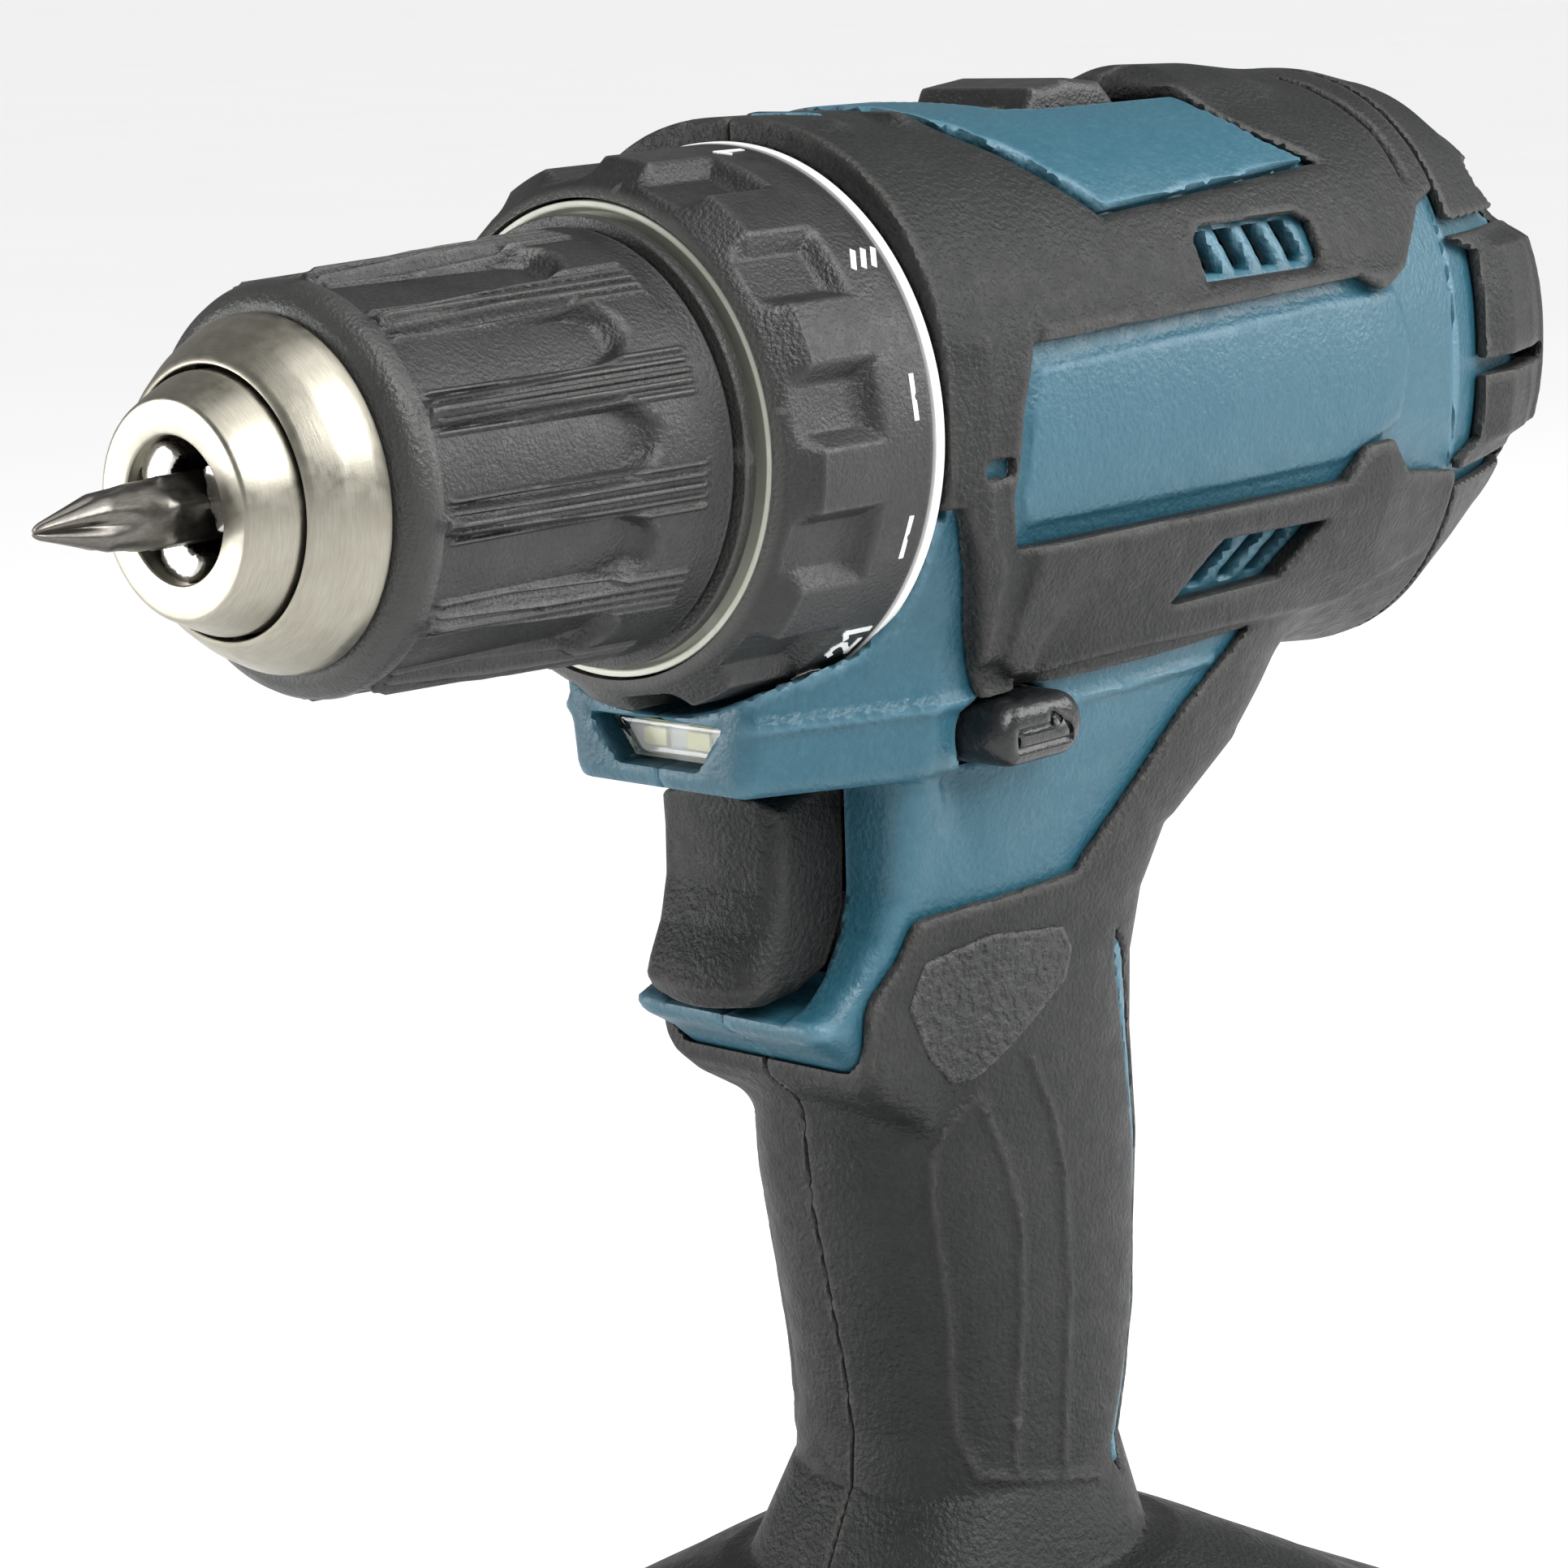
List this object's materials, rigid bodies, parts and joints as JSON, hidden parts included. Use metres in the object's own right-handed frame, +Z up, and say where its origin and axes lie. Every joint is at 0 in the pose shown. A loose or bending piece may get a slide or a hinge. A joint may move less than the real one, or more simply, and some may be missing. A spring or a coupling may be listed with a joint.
{
  "type": "cordless drill driver",
  "caption": "Pistol-grip cordless drill driver with keyless chuck, torque collar, two-speed lever, work light, driver bit and slide-on battery pack.",
  "frame": {"origin": "centre of the battery pack's flat underside, on which the drill stands", "axes": "+X forward along the spindle towards the chuck, +Y to the tool's left, +Z up"},
  "size_m": [0.2136, 0.079, 0.2484],
  "materials": {
    "teal_plastic": "fine moulded texture",
    "soft_black": "soft-touch overmould",
    "hard_black": "fine texture",
    "gloss_black": "smooth",
    "satin_nickel": "satin",
    "steel": "machined",
    "cream_plastic": "plain",
    "white_plastic": "plain",
    "clear_lens": "clear",
    "board_green": "plain",
    "brush_copper": "plain",
    "magnet_grey": "sintered",
    "cell_green": "shrink wrap"
  },
  "bodies": {
    "housing": {"housing_left": "teal_plastic", "housing_right": "teal_plastic", "grip_coat_left": "soft_black", "grip_coat_right": "soft_black", "rear_cover": "teal_plastic", "rear_bumper": "soft_black", "lamp_lens": "clear_lens", "lamp_board": "board_green", "gear_case": "hard_black", "input_ring_gear": "steel", "spindle_bearing": "steel", "clutch_spring": "steel", "motor_can": "steel", "magnet_left": "magnet_grey", "magnet_right": "magnet_grey", "brush_left": "brush_copper", "brush_right": "brush_copper", "brush_holder": "hard_black", "switch_body": "hard_black", "battery_wires": "soft_black", "terminal_block": "hard_black", "housing_screw_1": "steel", "housing_screw_2": "steel", "housing_screw_3": "steel", "housing_screw_4": "steel", "cover_screw_1": "steel", "cover_screw_2": "steel"},
    "motor_rotor": {"motor_armature": "steel", "motor_pinion": "steel", "cooling_fan": "hard_black"},
    "input_carrier": {"input_carrier": "steel"},
    "chuck": {"spindle": "steel", "chuck_body": "satin_nickel", "chuck_rear_ring": "hard_black", "chuck_screw": "steel"},
    "chuck_sleeve": {"chuck_sleeve": "hard_black", "chuck_hood": "satin_nickel", "chuck_nut": "steel"},
    "chuck_jaw_1": {"chuck_jaw_1": "steel"},
    "chuck_jaw_2": {"chuck_jaw_2": "steel"},
    "chuck_jaw_3": {"chuck_jaw_3": "steel"},
    "driver_bit": {"driver_bit": "steel"},
    "torque_collar": {"torque_collar": "hard_black", "index_ring": "white_plastic", "clutch_nut": "cream_plastic"},
    "speed_lever": {"speed_lever": "hard_black"},
    "shift_ring_gear": {"shift_ring_gear": "steel"},
    "trigger": {"trigger": "soft_black"},
    "reverser_bar": {"reverser_bar": "gloss_black"},
    "battery": {"battery_case": "hard_black", "battery_cover": "hard_black", "battery_cells": "cell_green"},
    "battery_latch": {"battery_latch": "gloss_black"},
    "output_planet_1": {"output_planet_1": "steel"},
    "input_planet_1": {"input_planet_1": "steel"},
    "output_planet_2": {"output_planet_2": "steel"},
    "input_planet_2": {"input_planet_2": "steel"},
    "output_planet_3": {"output_planet_3": "steel"},
    "input_planet_3": {"input_planet_3": "steel"}
  },
  "joints": [
    {"name": "motor_spin", "type": "hinge", "parent": "housing", "child": "motor_rotor", "pos_m": [-0.0125, 0, 0.2155], "axis": [1, 0, 0], "continuous": true},
    {"name": "input_carrier_spin", "type": "hinge", "parent": "housing", "child": "input_carrier", "pos_m": [0.0279, 0, 0.2155], "axis": [1, 0, 0], "continuous": true},
    {"name": "spindle_spin", "type": "hinge", "parent": "housing", "child": "chuck", "pos_m": [0.0725, 0, 0.2155], "axis": [1, 0, 0], "continuous": true},
    {"name": "input_planet_1_spin", "type": "hinge", "parent": "input_carrier", "child": "input_planet_1", "pos_m": [0.0231, 0.012, 0.2155], "axis": [1, 0, 0], "continuous": true},
    {"name": "output_planet_1_spin", "type": "hinge", "parent": "chuck", "child": "output_planet_1", "pos_m": [0.0337, 0.012, 0.2155], "axis": [1, 0, 0], "continuous": true},
    {"name": "input_planet_2_spin", "type": "hinge", "parent": "input_carrier", "child": "input_planet_2", "pos_m": [0.0231, -0.006, 0.22589], "axis": [1, 0, 0], "continuous": true},
    {"name": "output_planet_2_spin", "type": "hinge", "parent": "chuck", "child": "output_planet_2", "pos_m": [0.0337, -0.006, 0.22589], "axis": [1, 0, 0], "continuous": true},
    {"name": "input_planet_3_spin", "type": "hinge", "parent": "input_carrier", "child": "input_planet_3", "pos_m": [0.0231, -0.006, 0.20511], "axis": [1, 0, 0], "continuous": true},
    {"name": "output_planet_3_spin", "type": "hinge", "parent": "chuck", "child": "output_planet_3", "pos_m": [0.0337, -0.006, 0.20511], "axis": [1, 0, 0], "continuous": true},
    {"name": "chuck_sleeve_turn", "type": "hinge", "parent": "chuck", "child": "chuck_sleeve", "pos_m": [0.0875, 0, 0.2155], "axis": [1, 0, 0], "range_deg": [0, 2700]},
    {"name": "chuck_jaw_1_slide", "type": "slide", "parent": "chuck", "child": "chuck_jaw_1", "axis": [-0.9659, 0.25, 0.067], "range_m": [0, 0.012]},
    {"name": "chuck_jaw_2_slide", "type": "slide", "parent": "chuck", "child": "chuck_jaw_2", "axis": [-0.9659, -0.067, -0.25], "range_m": [0, 0.012]},
    {"name": "chuck_jaw_3_slide", "type": "slide", "parent": "chuck", "child": "chuck_jaw_3", "axis": [-0.9659, -0.183, 0.183], "range_m": [0, 0.012]},
    {"name": "driver_bit_pull", "type": "slide", "parent": "chuck", "child": "driver_bit", "axis": [1, 0, 0], "range_m": [0, 0.035]},
    {"name": "torque_collar_turn", "type": "hinge", "parent": "housing", "child": "torque_collar", "pos_m": [0.0535, 0, 0.2155], "axis": [1, 0, 0], "range_deg": [-308, 11]},
    {"name": "speed_lever_slide", "type": "slide", "parent": "housing", "child": "speed_lever", "axis": [-1, 0, 0], "range_m": [0, 0.006]},
    {"name": "shift_ring_slide", "type": "slide", "parent": "housing", "child": "shift_ring_gear", "axis": [-1, 0, 0], "range_m": [0, 0.0042]},
    {"name": "trigger_pull", "type": "slide", "parent": "housing", "child": "trigger", "axis": [-1, 0, 0], "range_m": [0, 0.008], "stiffness_N_per_m": 600, "springref_m": -0.004},
    {"name": "reverser_push", "type": "slide", "parent": "housing", "child": "reverser_bar", "axis": [0, -1, 0], "range_m": [0, 0.005]},
    {"name": "battery_slide", "type": "slide", "parent": "housing", "child": "battery", "axis": [1, 0, 0], "range_m": [0, 0.1]},
    {"name": "battery_latch_press", "type": "slide", "parent": "battery", "child": "battery_latch", "axis": [0, 0, -1], "range_m": [0, 0.004], "stiffness_N_per_m": 900, "springref_m": -0.002}
  ],
  "couplings": [
    {"joint": "input_carrier_spin", "follows": "motor_spin", "ratio": 0.2},
    {"joint": "spindle_spin", "follows": "motor_spin", "ratio": 0.04},
    {"joint": "input_planet_1_spin", "follows": "motor_spin", "ratio": -0.53333},
    {"joint": "output_planet_1_spin", "follows": "motor_spin", "ratio": -0.10667},
    {"joint": "input_planet_2_spin", "follows": "motor_spin", "ratio": -0.53333},
    {"joint": "output_planet_2_spin", "follows": "motor_spin", "ratio": -0.10667},
    {"joint": "input_planet_3_spin", "follows": "motor_spin", "ratio": -0.53333},
    {"joint": "output_planet_3_spin", "follows": "motor_spin", "ratio": -0.10667},
    {"joint": "chuck_jaw_1_slide", "follows": "chuck_sleeve_turn", "m_per_rad": 0.00025465},
    {"joint": "chuck_jaw_2_slide", "follows": "chuck_sleeve_turn", "m_per_rad": 0.00025465},
    {"joint": "chuck_jaw_3_slide", "follows": "chuck_sleeve_turn", "m_per_rad": 0.00025465},
    {"joint": "shift_ring_slide", "follows": "speed_lever_slide", "ratio": 0.7}
  ]
}
